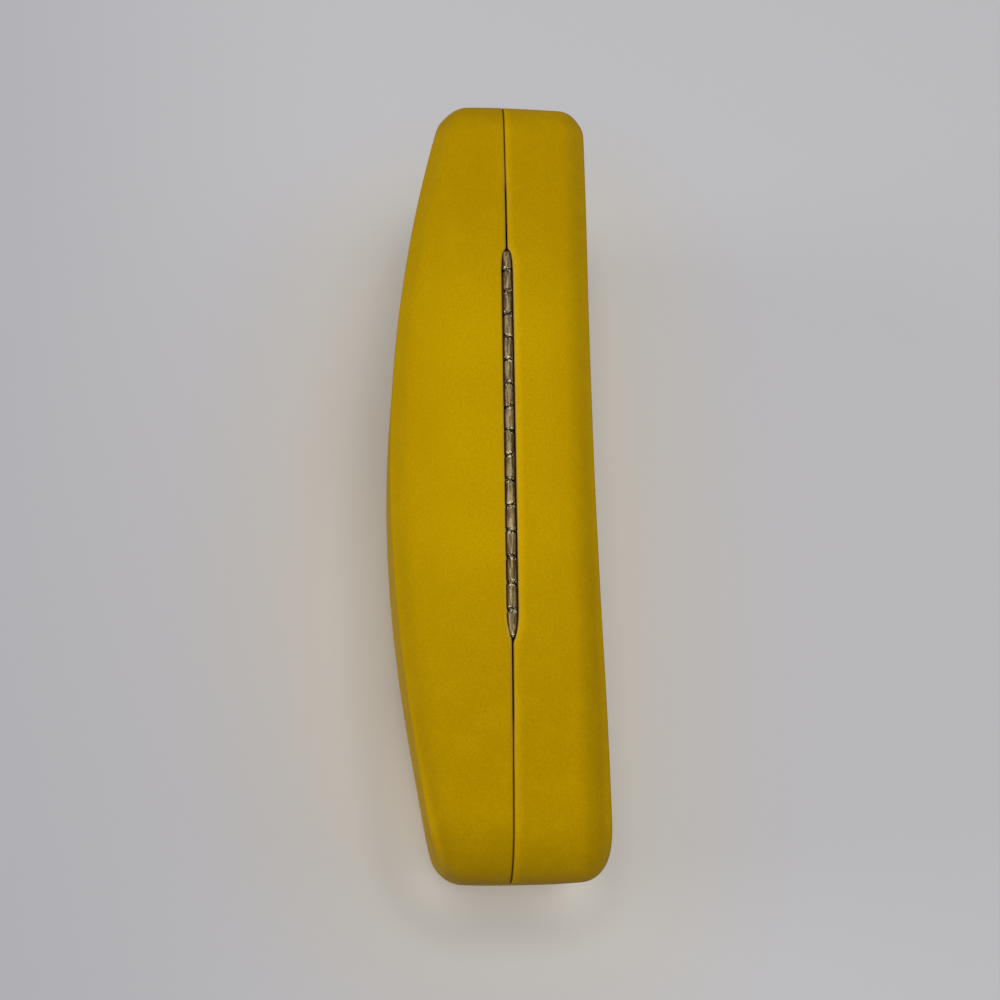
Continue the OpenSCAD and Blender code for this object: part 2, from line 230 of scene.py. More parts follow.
def softTouchYellow():
    look, marks = wrapLook, wrapMarksAndPaintedLight
    skin = Finish("yellowSoftTouch", Specular_IOR_Level=look["gloss"], Specular_Tint=look["sheen"])
    x, y, z = skin.axes()
    grain = skin.noise(look["grainSize"], detail=3.0, roughness=0.6)
    fineGrain = skin.noise(look["grainSize"] * look["fineGrain"])
    mottle = skin.noise(look["mottleSize"], detail=4.0, roughness=0.62)
    cloud = skin.noise(look["cloudSize"])
    side = y - seamY * mm
    beside, along = abs(side), abs(x)
    deep = hingeBack * mm - z

    def markAt(place, name):
        return skin.within(place, marks[name])

    # painted light: a pool of light over the middle, strongest near the hinge
    nearHinge = markAt(side, "litBase") * markAt(side, "litLid")
    middleLight = markAt(abs(x - marks["litCentre"] * mm), "litAlong")
    middleLight = middleLight * (marks["litFar"] + nearHinge * (1 - marks["litFar"]))
    tone = skin.mixed(middleLight, look["yellow"], look["midYellow"])
    tone = skin.mixed(skin.between(cloud, look["cloud"]) * look["cloudShade"], tone, look["deepYellow"])
    tone = skin.mixed(skin.between(mottle, look["mottle"]) * look["mottleShade"], tone, look["paleYellow"])
    tone = skin.scaled(tone, 1 + (grain - 0.5) * look["grainShade"] + (fineGrain - 0.5) * look["fineShade"])
    # sparse dark specks, each in its own cell
    cells = skin.node("ShaderNodeTexVoronoi", {}, {
        "Vector": skin.place, "Scale": 1 / (look["speckSpacing"] * mm)})
    cellShade = skin.node("ShaderNodeSeparateColor", {}, {"Color": cells.outputs["Color"]})
    speckReach = Num(skin, cellShade.outputs["Red"]) * (look["speckSize"] / look["speckSpacing"])
    speck = skin.between(Num(skin, cells.outputs["Distance"]) - speckReach, look["speckBlur"])
    tone = skin.mixed(speck * look["speckShade"], tone, look["speck"])
    # the base's rim stands a little proud and carries a painted highlight, and both rims have a thin paler
    # edge
    openSlot = markAt(along, "openAlong") ** 0.5
    fromBaseRim = side - openSlot * (marks["baseRim"] * mm)
    fromLidRim = openSlot * (-marks["lidRim"] * mm) - side
    # painted highlight along the base's rim, where its rounded edge catches the light
    wearAndHighlight = markAt(fromBaseRim, "highlightAway") * markAt(side, "highlightStart")
    tone = skin.scaled(tone, 1 + wearAndHighlight * marks["highlightShade"])
    paleEdge = markAt(along, "paleEdgeAlong") * marks["paleEdgeShare"]
    for away in (fromBaseRim, fromLidRim):
        tone = skin.mixed(markAt(away, "paleEdgeAway") * markAt(away, "paleEdgeStart") * paleEdge, tone, look["rimEdge"])
    # painted shade makes the ends and the base's long slope a little darker, painted light makes the lid's
    # lower flank paler
    endShading = markAt(along, "endAlong") * (marks["endShade"] + markAt(side, "endLid") * marks["lidEndShade"])
    slopeShading = (markAt(side, "slopeInner") * markAt(side, "slopeOuter") * markAt(deep, "slopeDeep")
               * (marks["leastSlope"] + markAt(x, "slopeAlong") * marks["slopeShade"]))
    # painted light lifts the lid's lower flank
    fromFlank = y + marks["flankMiddle"] * mm - x * x / (marks["flankBow"] * mm)
    paintedFlankLight = (markAt(fromFlank, "flankAway") * markAt(side, "flankSide") * markAt(deep, "flankDeep")
               * markAt(x, "flankAlong") * marks["flankLightShare"])
    tone = skin.scaled(tone, (1 - endShading) * (1 - slopeShading) * (1 + paintedFlankLight))
    # painted shade: the folded rims are darker where they turn in, brown in the slot and in a thin line along
    # the seam
    atBack = markAt(deep, "backDeep")
    slotFold = markAt(deep, "slotDeep") * atBack * markAt(beside, "slotBeside") * markAt(along, "slotAlong")
    seamFold = markAt(deep, "seamDeep") * atBack * markAt(beside, "seamBeside") * markAt(along, "seamAlong")
    seamLine = markAt(beside, "lineBeside") * markAt(deep, "lineDeep") * markAt(along, "lineAlong")
    tone = skin.mixed(markAt(beside, "creaseShadowBeside") * marks["creaseShadowShare"], tone, look["fold"])
    tone = skin.mixed(slotFold * marks["slotShade"], tone, look["slotWall"])
    tone = skin.mixed(seamFold * marks["seamShade"], tone, look["fold"])
    tone = skin.mixed(seamLine * marks["lineShade"], tone, look["fold"])
    rough = look["roughness"] + (grain - 0.5) * look["grainRough"] + (mottle - 0.5) * look["mottleRough"]
    return skin.paint(tone, rough, skin.bumped(grain * 0.7 + fineGrain * 0.3, look["grainDepth"]))


flockLook = {
    "dark": (0.030, 0.024, 0.021, 1), "light": (0.075, 0.060, 0.052, 1), "sheen": (0.75, 0.68, 0.62, 1),
    "fibre": 0.22, "patch": 9.0, "shades": (0.35, 0.7), "patchShade": 0.4,
    "roughness": 0.86, "patchRough": 0.14, "depth": 0.09,
}


def darkFlock():
    look = flockLook
    flock = Finish("darkFlock", Sheen_Weight=0.35, Sheen_Roughness=0.45, Sheen_Tint=look["sheen"],
                   Specular_IOR_Level=0.2)
    fibre = flock.noise(look["fibre"], detail=3.0, roughness=0.7)
    patch = flock.noise(look["patch"], detail=3.0, roughness=0.55)
    tone = flock.mixed(flock.between(fibre, look["shades"]), look["dark"], look["light"])
    tone = flock.mixed(flock.between(patch, look["shades"]) * look["patchShade"], tone, look["dark"])
    rough = look["roughness"] + (patch - 0.5) * look["patchRough"]
    return flock.paint(tone, rough, flock.bumped(fibre + patch * 0.6, look["depth"]))


clothLook = {
    "dark": (0.022, 0.013, 0.009, 1), "light": (0.062, 0.044, 0.034, 1),
    "thread": 0.35, "threadsPerWave": 3.2, "fuzz": 0.18, "shades": (0.2, 0.8),
    "roughness": 0.78, "fuzzRough": 0.15, "depth": 0.05,
}


def gussetCloth():
    look = clothLook
    cloth = Finish("gussetCloth", Sheen_Weight=0.25, Sheen_Roughness=0.5, Specular_IOR_Level=0.25)
    scale = 1 / (look["thread"] * mm * look["threadsPerWave"])
    waves = [cloth.node("ShaderNodeTexWave", {"bands_direction": axis}, {
        "Vector": cloth.place, "Scale": scale, "Distortion": 0.6, "Detail": 1.0}) for axis in ("X", "Y")]
    weave = Num(cloth, waves[0].outputs["Fac"]) * Num(cloth, waves[1].outputs["Fac"])
    fuzz = cloth.noise(look["fuzz"])
    tone = cloth.mixed(cloth.between(weave * 0.7 + fuzz * 0.5, look["shades"]), look["dark"], look["light"])
    rough = look["roughness"] + fuzz * look["fuzzRough"]
    return cloth.paint(tone, rough, cloth.bumped(weave + fuzz * 0.4, look["depth"]))


nickelLook = {
    # the dark colour serves the pits' stains and the painted shade on the flanks and between the knuckles
    "bright": (0.54, 0.42, 0.225, 1), "dull": (0.205, 0.150, 0.072, 1), "stainAndShade": (0.042, 0.011, 0.001, 1),
    "glint": (0.92, 0.80, 0.50, 1),
    "streakSize": 0.34, "streakStretch": (0.10, 1.0, 1.0), "wearSize": 0.7, "pitSize": 0.26, "chipSize": 0.37,
    "streaks": (0.44, 0.57), "pits": (0.66, 0.78), "brightChips": (0.52, 0.57), "darkChips": (0.49, 0.42),
    "pitShade": 1.1, "pitStain": 0.5, "jointShadeShare": 0.85, "flankShadow": 0.9, "glintBare": 0.8,
    "baseFlank": (0.42, 1.2), "lidFlank": (-0.5, -0.78),  # from the seam, in millimetres
    "jointReach": (0.8, 0.44),  # from a knuckle's end, in millimetres
    "roughness": 0.68, "wearRough": 0.22, "streakRough": 0.2, "depth": 0.03,
}


def satinNickel():
    look = nickelLook
    metal = Finish("satinNickel", Metallic=1.0)
    x, y, _ = metal.axes()
    streak = metal.noise(look["streakSize"], place=metal.stretched(look["streakStretch"]))
    marks = metal.noise(look["wearSize"], detail=4.0, roughness=0.65)
    pits = metal.noise(look["pitSize"])
    wearAndHighlight = metal.between(streak * 0.75 + marks * 0.25, look["streaks"])
    tone = metal.mixed(wearAndHighlight, look["dull"], look["bright"])
    tone = metal.scaled(tone, 1 + (pits - 0.5) * look["pitShade"])
    # painted shade darkens both flanks, where the knuckles sink into the slot
    side = y - seamY * mm
    flank = metal.within(side, look["baseFlank"]) + metal.within(side, look["lidFlank"])
    tone = metal.mixed(metal.between(pits, look["pits"]) * look["pitStain"], tone, look["stainAndShade"])
    # painted glints in points on each knuckle's sheared ends, with painted shade between them
    joint = metal.within(x.maths("PINGPONG", x, hingeForm["pitch"] / 2 * mm), look["jointReach"])
    chips = metal.noise(look["chipSize"], detail=1.0)
    glint = joint * metal.between(chips, look["brightChips"])
    jointShade = joint * metal.between(chips, look["darkChips"])
    tone = metal.mixed(jointShade * look["jointShadeShare"], tone, look["stainAndShade"])
    tone = metal.mixed(flank * look["flankShadow"], tone, look["stainAndShade"])
    tone = metal.mixed(glint * (1 - flank), tone, look["glint"])
    rough = look["roughness"] + (marks - 0.5) * look["wearRough"] + (streak - 0.5) * look["streakRough"]
    normal = metal.bumped(streak * 0.6 + pits * 0.4, look["depth"])
    return metal.paint(tone, rough, normal, 1 - glint * look["glintBare"])


steelLook = {
    # each steel: where it is clean, where it is dark, roughness
    "shellSteel": ((0.36, 0.35, 0.33, 1), (0.22, 0.21, 0.20, 1), 0.42),
    "springSteel": ((0.30, 0.31, 0.34, 1), (0.17, 0.18, 0.21, 1), 0.32),
    "pinSteel": ((0.30, 0.27, 0.22, 1), (0.16, 0.14, 0.11, 1), 0.38),
    "rivetSteel": ((0.56, 0.54, 0.50, 1), (0.40, 0.38, 0.35, 1), 0.34),
    "rolledSize": 1.6, "rolledStretch": (0.08, 1.0, 1.0), "cloudSize": 14.0, "shades": (0.35, 0.65),
    "cloudRough": 0.2, "rolledRough": 0.1, "depth": 0.015,
}


def sheetSteel(name):
    look = steelLook
    clean, dark, roughness = look[name]
    steel = Finish(name, Metallic=1.0)
    along = steel.stretched(look["rolledStretch"])
    rolled = steel.noise(look["rolledSize"], detail=3.0, roughness=0.6, place=along)
    cloud = steel.noise(look["cloudSize"], detail=3.0)
    tone = steel.mixed(steel.between(rolled * 0.6 + cloud * 0.4, look["shades"]), dark, clean)
    rough = roughness + (cloud - 0.5) * look["cloudRough"] + (rolled - 0.5) * look["rolledRough"]
    return steel.paint(tone, rough, steel.bumped(rolled, look["depth"]))


foamLook = {
    "pale": (0.70, 0.67, 0.58, 1), "pore": (0.42, 0.39, 0.32, 1), "cell": 0.45, "cloudSize": 6.0,
    "pores": (0.15, 0.5), "roughness": 0.8, "cloudRough": 0.15, "depth": 0.12,
}


def paleFoam():
    look = foamLook
    foam = Finish("paleFoam", Specular_IOR_Level=0.2)
    pores = foam.node("ShaderNodeTexVoronoi", {}, {"Vector": foam.place, "Scale": 1 / (look["cell"] * mm)})
    pore = foam.between(Num(foam, pores.outputs["Distance"]), look["pores"])
    cloud = foam.noise(look["cloudSize"])
    tone = foam.mixed(pore * 0.8 + cloud * 0.2, look["pore"], look["pale"])
    return foam.paint(tone, look["roughness"] + cloud * look["cloudRough"], foam.bumped(pore, look["depth"]))


# Mesh tools

def makePiece(name, points, faces):
    mesh = bpy.data.meshes.new(name)
    mesh.from_pydata([Vector(p) * mm for p in points], [], faces)
    mesh.validate()
    mesh.shade_smooth()
    piece = bpy.data.objects.new(name, mesh)
    bpy.context.scene.collection.objects.link(piece)
    return piece


def lerp(a, b, t):
    return a + (b - a) * t


def eased(t):
    t = min(max(t, 0.0), 1.0)
    return t * t * (3 - 2 * t)


def spread(start, end, step):
    # even steps from start up to, but without, end
    count = max(1, math.ceil(abs(end - start) / step))
    return [lerp(start, end, i / count) for i in range(count)]


def lookUp(table, x):
    for (x0, v0), (x1, v1) in zip(table, table[1:]):
        if x <= x1:
            return lerp(v0, v1, max(0.0, (x - x0) / (x1 - x0)))
    return table[-1][1]


def bands(loops):
    # the points of loops that have equally many, and the faces from each loop to the next
    n = len(loops[0])
    faces = [(i * n + j, i * n + (j + 1) % n, (i + 1) * n + (j + 1) % n, (i + 1) * n + j)
             for i in range(len(loops) - 1) for j in range(n)]
    return [p for loop in loops for p in loop], faces


def closedLoft(loops):
    # a closed surface through loops, with a face over each end
    points, faces = bands(loops)
    n = len(loops[0])
    faces.append(tuple(range(n))[::-1])
    faces.append(tuple(len(points) - n + j for j in range(n)))
    return points, faces


def ringsBetween(first, last, steps):
    # evenly spaced rings from one ring to another, without these two
    return [[tuple(lerp(a, b, k / steps) for a, b in zip(p, q)) for p, q in zip(first, last)]
            for k in range(1, steps)]


def joined(parts):
    points, faces = [], []
    for partPoints, partFaces in parts:
        faces += [tuple(v + len(points) for v in face) for face in partFaces]
        points += partPoints
    return points, faces


def outwards(piece, weld=0.0, smoothAngle=50.0):
    # joins points nearer than weld and turns every face outwards
    work = bmesh.new()
    work.from_mesh(piece.data)
    if weld:
        bmesh.ops.remove_doubles(work, verts=work.verts, dist=weld * mm)
    bmesh.ops.recalc_face_normals(work, faces=work.faces)
    work.to_mesh(piece.data)
    work.free()
    piece.data.set_sharp_from_angle(angle=math.radians(smoothAngle))
    return piece


def sink(piece, chosen, depth, size):
    # lets the chosen points sink unevenly under the surface, by up to depth
    points = piece.data.vertices
    normals = {v: points[v].normal.copy() for v in chosen}
    for v, normal in normals.items():
        wave = 0.5 + 0.5 * noise.noise(points[v].co / (size * mm))
        points[v].co -= normal * wave * depth * mm


# The case's form, shared by wraps, linings and pads

caseForm = {
    "length": 163.0, "depth": 64.0,
    "baseHeight": 17.4, "lidHeight": 22.8, "lidArch": 10.4, "lidCrown": 1.2,
    "underHollow": 1.0, "underRise": 0.5,  # the base's face is hollow along its length, its ends stand proud
    "shoulderFall": 0.3,  # the lid's arch is a little flatter between its middle and its ends
    "edgeRadius": 5.5, "backRadius": 11.0, "frontRadius": 18.0, "shoulderRadius": 220.0,
    "hingeLength": 80.0, "hingeFlat": 3.0, "notchRamp": 2.3,
    "endFlat": 4.0,  # the hollow and the flatter arch stop this far from both ends
    "backStart": 50.0,  # stations above this height lie on the hinged back
    "outlineStep": 0.9, "fineLength": 5.0,  # finer stations over the hinge's last part
}
hingeBack = caseForm["depth"]


def arc(centreX, centreZ, radius, start, end, step):
    turns = spread(start, end, math.degrees(step / radius))
    return [(centreX + radius * math.cos(math.radians(a)), centreZ + radius * math.sin(math.radians(a)),
             math.cos(math.radians(a)), math.sin(math.radians(a))) for a in turns]


def caseOutline():
    # plan stations (x, z, normal x, normal z, share of the hinge notch) from mid back round to mid back
    form = caseForm
    step = form["outlineStep"]
    half = form["length"] / 2
    flatHalf = form["hingeLength"] / 2 + form["hingeFlat"]
    backX, frontX = half - form["backRadius"], half - form["frontRadius"]
    shoulder = math.asin((backX - flatHalf) / (form["shoulderRadius"] - form["backRadius"]))
    turn = 90 - math.degrees(shoulder)
    backZ = (form["depth"] - form["shoulderRadius"] * (1 - math.cos(shoulder))
             - form["backRadius"] * math.cos(shoulder))
    fineStart = form["hingeLength"] / 2 - form["fineLength"]
    flat = spread(0, fineStart, step) + spread(fineStart, flatHalf, step / 3)
    right = [(x, form["depth"], 0, 1) for x in flat]
    right += arc(flatHalf, form["depth"] - form["shoulderRadius"], form["shoulderRadius"], 90, turn, step)
    right += arc(backX, backZ, form["backRadius"], turn, 0, step * 0.8)
    right += [(half, z, 1, 0) for z in spread(backZ, form["frontRadius"], step)]
    right += arc(frontX, form["frontRadius"], form["frontRadius"], 0, -90, step)
    right += [(x, 0, 0, -1) for x in spread(frontX, 0, step)] + [(0, 0, 0, -1)]
    ring = right + [(-x, z, -nx, nz) for x, z, nx, nz in right[-2:0:-1]]
    reach = flatHalf + form["notchRamp"]
    shares = [eased((reach - abs(x)) / form["notchRamp"]) if z > form["backStart"] else 0.0
              for x, z, _, _ in ring]
    return [station + (share,) for station, share in zip(ring, shares)]


outline = caseOutline()


def topAt(side, x, z, skin=False):
    # the height of the flat base or the arched lid over the seam; the wrap's outer skin differs a little
    form = caseForm
    half = form["length"] / 2
    share = min(1.0, (x / (half - form["endFlat"])) ** 2)
    if side == baseSide:
        rise = form["underRise"] - form["underHollow"] * (1 - share) ** 1.2 if skin else 0.0
        return form["baseHeight"] + rise
    archRadius = (half ** 2 + form["lidArch"] ** 2) / (2 * form["lidArch"])
    across = max(0.0, 1 - ((z - form["depth"] / 2) / (form["depth"] / 2 - form["edgeRadius"])) ** 2)
    along = max(0.0, 1 - (x / (half - form["edgeRadius"])) ** 2)
    crown = form["lidCrown"] * (across ** 2 if skin else across) * along
    fall = form["shoulderFall"] * 4 * share * (1 - share) if skin else 0.0
    return form["lidHeight"] - archRadius + math.sqrt(archRadius ** 2 - x * x) + crown - fall


def insetPoint(station, inset, height, side):
    x, z, nx, nz, _ = station
    return (x - inset * nx, seamY + side * height, z - inset * nz)


def wallRing(side, profile):
    # profile gives (inset, height over the seam) at a station
    return [insetPoint(station, *profile(station), side) for station in outline]


def edgeRing(side, inset, drop, least, turn):
    # a ring over the rounded long edge, from 0 degrees at the wall to 90 on the top
    across = max(caseForm["edgeRadius"] - inset, least)
    down = max(caseForm["edgeRadius"] - drop, least)
    q = math.radians(turn)
    ring = []
    for station in outline:
        x, _, z = insetPoint(station, inset + across * (1 - math.cos(q)), 0, side)
        ring.append((x, seamY + side * (topAt(side, x, z) - drop - down * (1 - math.sin(q))), z))
    return ring


def skinEdge(side, drop, inset, share):
    # a ring of the wrap's outer skin over its long edge: sloped beside the hinge, round elsewhere
    turn = math.radians(90 * (1 - share))
    radius = caseForm["edgeRadius"]
    ring = []
    for station in outline:
        sloped = max(0.0, station[3]) ** 2
        across = lerp(radius * (1 - math.cos(turn)), inset, sloped)
        down = lerp(radius * (1 - math.sin(turn)), drop, sloped)
        x, _, z = insetPoint(station, across, 0, side)
        ring.append((x, seamY + side * (topAt(side, x, z, True) - down), z))
    return ring


def topRing(side, inset, drop, shrink, skin=False, puff=0.0):
    # a ring on the top face: the outline moved in by an inset, then shrunk towards the middle
    middle = caseForm["depth"] / 2
    ring = []
    for station in outline:
        px, _, pz = insetPoint(station, inset, 0, side)
        x, z = px * shrink, middle + (pz - middle) * shrink
        ring.append((x, seamY + side * (topAt(side, x, z, skin) - drop - puff * eased((1 - shrink) * 3)), z))
    return ring


def ringSolid(rings):
    # a closed solid through rings that start and end at a pole
    middle = caseForm["depth"] / 2
    points, faces = bands(rings)
    n = len(rings[0])
    for ring, start in ((rings[0], 0), (rings[-1], (len(rings) - 1) * n)):
        height = sum(p[1] for p in ring) / n
        points.append((0, height, middle))
        pole = len(points) - 1
        faces += [(start + j, start + (j + 1) % n, pole) for j in range(n)]
    return points, faces


# Wraps

wrapForm = {
    "thickness": 1.2, "shellInset": 1.7, "flapOut": 1.8, "flapIn": 2.4, "flapLength": 6.0,
    "flapEdge": 0.15, "lip": 1.0, "foldRound": 0.45, "groove": 1.2,
    # rounding of the rims by distance from mid length: tight beside the knuckles, wide just past the slot so
    # that the halves clear as they open, tight again towards the ends
    "baseRimRound": ((0, 0.26), (38.0, 0.26), (43.0, 0.55), (57.0, 0.55), (66.0, 0.30), (170.0, 0.30)),
    "lidRimRound": ((0, 0.5), (38.0, 0.5), (43.0, 0.65), (57.0, 0.65), (66.0, 0.32), (170.0, 0.32)),
    "topShrinks": (0.04, 0.12, 0.22, 0.33, 0.44, 0.55, 0.65, 0.74, 0.82, 0.885, 0.94, 0.975, 1.0),
    "wallSteps": 9, "crown": 0.15,
    # the long edge: (drop from the top face, inset from the wall), a tight turn, a slope, a wide turn
    "edge": ((0, 4.9), (0.01, 4.45), (0.06, 4.02), (0.18, 3.7), (0.38, 3.46), (0.85, 2.99), (1.4, 2.44),
             (1.9, 1.94), (2.32, 1.52), (2.8, 1.1), (3.4, 0.7), (4.05, 0.38), (4.74, 0.154), (5.37, 0.039),
             (6.0, 0)),
    "waveDepth": 0.07, "waveSize": 16.0, "bulgeStart": 60.0, "bulge": 0.26,
    # from the seam to the base's rim along the back: the slot, its rounded end, the seam
    "slot": ((0, 1.24), (35.2, 1.24), (36.4, 1.19), (37.6, 1.08), (38.6, 0.94), (39.4, 0.78), (40.0, 0.62),
             (40.35, 0.46), (40.7, 0.30), (41.2, 0.25), (52.0, 0.16), (62.0, 0.08), (72.0, 0.05),
             (170.0, 0.03)),
    # the same towards -X, where the slot ends more bluntly
    "bluntSlot": ((0, 1.24), (35.4, 1.22), (37.4, 1.12), (38.6, 0.98), (39.3, 0.84), (39.7, 0.66),
                  (40.0, 0.42), (40.3, 0.28), (40.9, 0.24), (52.0, 0.16), (62.0, 0.08), (72.0, 0.05),
                  (170.0, 0.03)),
    "lidNearer": 0.34, "lidTilt": -0.0044, "least": 0.02,  # the lid's rim comes nearer, more so towards +X
    "frontRim": 0.1,  # from the seam to either rim, away from the back
}


def rimAt(station, side):
    x, z, _, nz, _ = station
    if z < caseForm["backStart"] or nz <= 0:
        return wrapForm["frontRim"]
    reach = lookUp(wrapForm["slot" if x > 0 else "bluntSlot"], abs(x))
    if side == baseSide:
        return reach
    return max(wrapForm["least"], reach - wrapForm["lidNearer"] + wrapForm["lidTilt"] * x)


def drawIn(ring, amount):
    for j, (station, point) in enumerate(zip(outline, ring)):
        ring[j] = (point[0] - amount * station[2], point[1], point[2] - amount * station[3])


def wrapRings(side):
    form = wrapForm
    rimRound = form["baseRimRound"] if side == baseSide else form["lidRimRound"]

    def rim(s):
        return rimAt(s, side)

    def roundAt(s):
        return lookUp(rimRound, abs(s[0]))

    top = [topRing(side, caseForm["edgeRadius"], 0, f, True) for f in form["topShrinks"][:-1]]
    last = len(form["edge"]) - 1
    edge = [skinEdge(side, drop, inset, k / last) for k, (drop, inset) in enumerate(form["edge"])]
    foot = edge[-1]
    rimTop = wallRing(side, lambda s: (0, rim(s) + roundAt(s)))
    wall = ringsBetween(foot, rimTop, form["wallSteps"])
    # the walls draw in a little from the rims to the long edges, and carry the edges with them
    for k, ring in enumerate(wall):
        drawIn(ring, form["crown"] * (1 - (k + 1) / form["wallSteps"]) ** 2)
    for k, ring in enumerate(edge):
        drawIn(ring, form["crown"] * (k / (len(edge) - 1)) ** 0.5)
    outer = top + edge + wall

    def rounding(q):
        a = math.radians(q)
        return lambda s: (roundAt(s) * (1 - math.sin(a)), rim(s) + roundAt(s) * (1 - math.cos(a)))

    def atFlap(inset, s):
        # the turned-in flap is cut down to a narrow lip on the shell beside the hinge
        return lerp(form[inset], form["shellInset"], s[4])

    def fold(q):
        a = math.radians(q)
        return lambda s: (atFlap("flapIn", s) - form["foldRound"] * (1 - math.sin(a)),
                          rim(s) + form["foldRound"] * (1 - math.cos(a)))

    def flap(inset, share, drop):
        return lambda s: (atFlap(inset, s),
                          rim(s) + lerp(form["flapLength"] * share - drop, form["lip"], s[4]))

    lips = [wallRing(side, rounding(q)) for q in (90, 72, 54, 36, 18, 0)]
    lips += [wallRing(side, fold(q)) for q in (0, 30, 60, 90)]
    lips += [wallRing(side, flap("flapIn", share, 0.0)) for share in (0.35, 0.65)]
    lips += [wallRing(side, flap("flapIn", 1, form["flapEdge"])), wallRing(side, flap("flapOut", 1, 0.0))]
    lips += [wallRing(side, lambda s: (atFlap("flapOut", s), rim(s) + form["groove"])),
             wallRing(side, lambda s: (form["thickness"], rim(s) + form["groove"]))]
    inner = [edgeRing(side, form["thickness"], form["thickness"], 0, q) for q in (0, 22, 45, 68, 90)]
    inner += [topRing(side, caseForm["edgeRadius"], form["thickness"], f) for f in (0.8, 0.5, 0.2, 0.04)]
    return outer, lips, inner


def makeWrap(name, side):
    outer, lips, inner = wrapRings(side)
    piece = outwards(makePiece(name, *ringSolid(outer + lips + inner)))
    # the stretched wrap is never quite even: its outer skin sinks by a few hundredths
    n = len(outline)
    skin = [v for i in range(len(outer)) for v in range(i * n, (i + 1) * n)]
    sink(piece, skin, wrapForm["waveDepth"], wrapForm["waveSize"])
    # the +X end bulges a little further out
    start, bulge = wrapForm["bulgeStart"] * mm, wrapForm["bulge"] * mm
    end = caseForm["length"] / 2 * mm
    for point in piece.data.vertices:
        point.co.x += bulge * max(0.0, (point.co.x - start) / (end - start)) ** 2
    return outwards(piece, weld=0.0002, smoothAngle=60.0)


print("wraps")
yellow = softTouchYellow()
for wrapName, wrapSide, wrapBody in (("baseWrap", baseSide, "base"), ("lidWrap", lidSide, "lid")):
    wrap = makeWrap(wrapName, wrapSide)
    dress(wrap, yellow)
    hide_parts(wrapBody + "_cover")
    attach(wrap, wrapBody)


# Linings and the pads under them

liningForm = {
    "outset": 2.5, "inset": 3.5, "floorDrop": 3.4, "thickness": 1.0, "innerRadius": 3.0,
    "setback": 2.1, "notch": 8.3, "edgeRound": 0.42, "puff": 0.45,
    "unevenDepth": 0.06, "unevenSize": 5.0,
    "shrinks": (0.04, 0.15, 0.3, 0.45, 0.6, 0.72, 0.82, 0.9, 0.96), "wallSteps": 6,
}


def makeLining(name, side):
    form = liningForm
    shrinks = form["shrinks"]
    turns = [90 - 7.5 * k for k in range(13)]
    farInset = caseForm["edgeRadius"]
    innerTop = max(farInset, form["inset"] + form["innerRadius"])

    def rim(s):
        return lerp(form["setback"], form["notch"], s[4])

    outer = [topRing(side, farInset, form["floorDrop"], f) for f in shrinks[::2]]
    outer += [edgeRing(side, form["outset"], form["floorDrop"], 0.1, q) for q in turns[::2]]
    edge = []
    for q in (90, 60, 30, 0, -30, -60, -90):
        a = math.radians(q)
        middle, half = (form["outset"] + form["inset"]) / 2, (form["inset"] - form["outset"]) / 2
        edge.append(wallRing(side, lambda s, a=a: (
            middle - half * math.sin(a), rim(s) + form["edgeRound"] * (1 - math.cos(a)))))
    start = edgeRing(side, form["inset"], form["floorDrop"] + form["thickness"], form["innerRadius"], 0)
    wall = ringsBetween(edge[-1], start, form["wallSteps"])
    inner = [edgeRing(side, form["inset"], form["floorDrop"] + form["thickness"], form["innerRadius"], q)
             for q in turns[::-1]]
    inner += [topRing(side, innerTop, form["floorDrop"] + form["thickness"], f, puff=form["puff"])
              for f in shrinks[::-1]]
    piece = outwards(makePiece(name, *ringSolid(outer + edge + wall + inner)))
    inside = range(len(outer) * len(outline), len(piece.data.vertices))
    sink(piece, inside, form["unevenDepth"], form["unevenSize"])
    return piece


padForm = {
    "under": 1.8, "thickness": 1.5, "border": 0.965, "borderRound": 0.012,
    "shrinks": (0.04, 0.2, 0.4, 0.6, 0.8, 0.9),
}


def makePad(name, side):
    form = padForm
    inset = caseForm["edgeRadius"]
    under, over = form["under"], form["under"] + form["thickness"]
    rings = [topRing(side, inset, under, f) for f in form["shrinks"]]
    for q in range(0, 181, 30):
        a = math.radians(q)
        rings.append(topRing(side, inset, under + form["thickness"] / 2 * (1 - math.cos(a)),
                             form["border"] - form["borderRound"] * (1 - math.sin(a))))
    rings += [topRing(side, inset, over, f) for f in form["shrinks"][::-1]]
    return outwards(makePiece(name, *ringSolid(rings)))


print("linings and pads")
flock, foamMaterial = darkFlock(), paleFoam()
for sideName, trim in (("base", baseSide), ("lid", lidSide)):
    lining = makeLining(sideName + "Lining", trim)
    dress(lining, flock)
    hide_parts(sideName + "_lining")
    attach(lining, sideName)
    pad = makePad(sideName + "Pad", trim)
    dress(pad, foamMaterial)
    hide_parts(sideName + "_foam")
    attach(pad, sideName)


# Hinge leaves with rolled knuckles

hingeForm = {
    "knuckles": 16, "pitch": 5.0, "gap": 0.2, "outerRadius": 1.05, "boreRadius": 0.55,
    "sheet": 0.5, "plateZ": 62.05, "plateStart": 1.2, "plateEnd": 8.7, "bendRadius": 0.5,
    "notchDepth": 0.55, "notchAngle": 148.0, "notchReach": 62.0, "edgeRound": 0.17,
    "curlEnd": 296, "tipRadius": 0.44, "bluntRadius": 0.66, "bluntShort": 0.5, "tipRound": 0.34, "taper": 2.2,
    "strapLength": 1.8, "strapIn": 0.2,  # an end knuckle's strap, and how far in from its inner end it lies
    "rivetX": 36.0, "rivetY": 3.7, "rivetHole": 0.95,
    "hookX": 20.0, "hookLength": 21.0, "hookY": 5.25, "hookDrop": 1.35, "hookWindow": 1.1, "hookBend": 0.45,
    "plateRound": 0.06, "overlap": 0.06,  # the plate's rounded edges, and how far bent strips start inside it
}


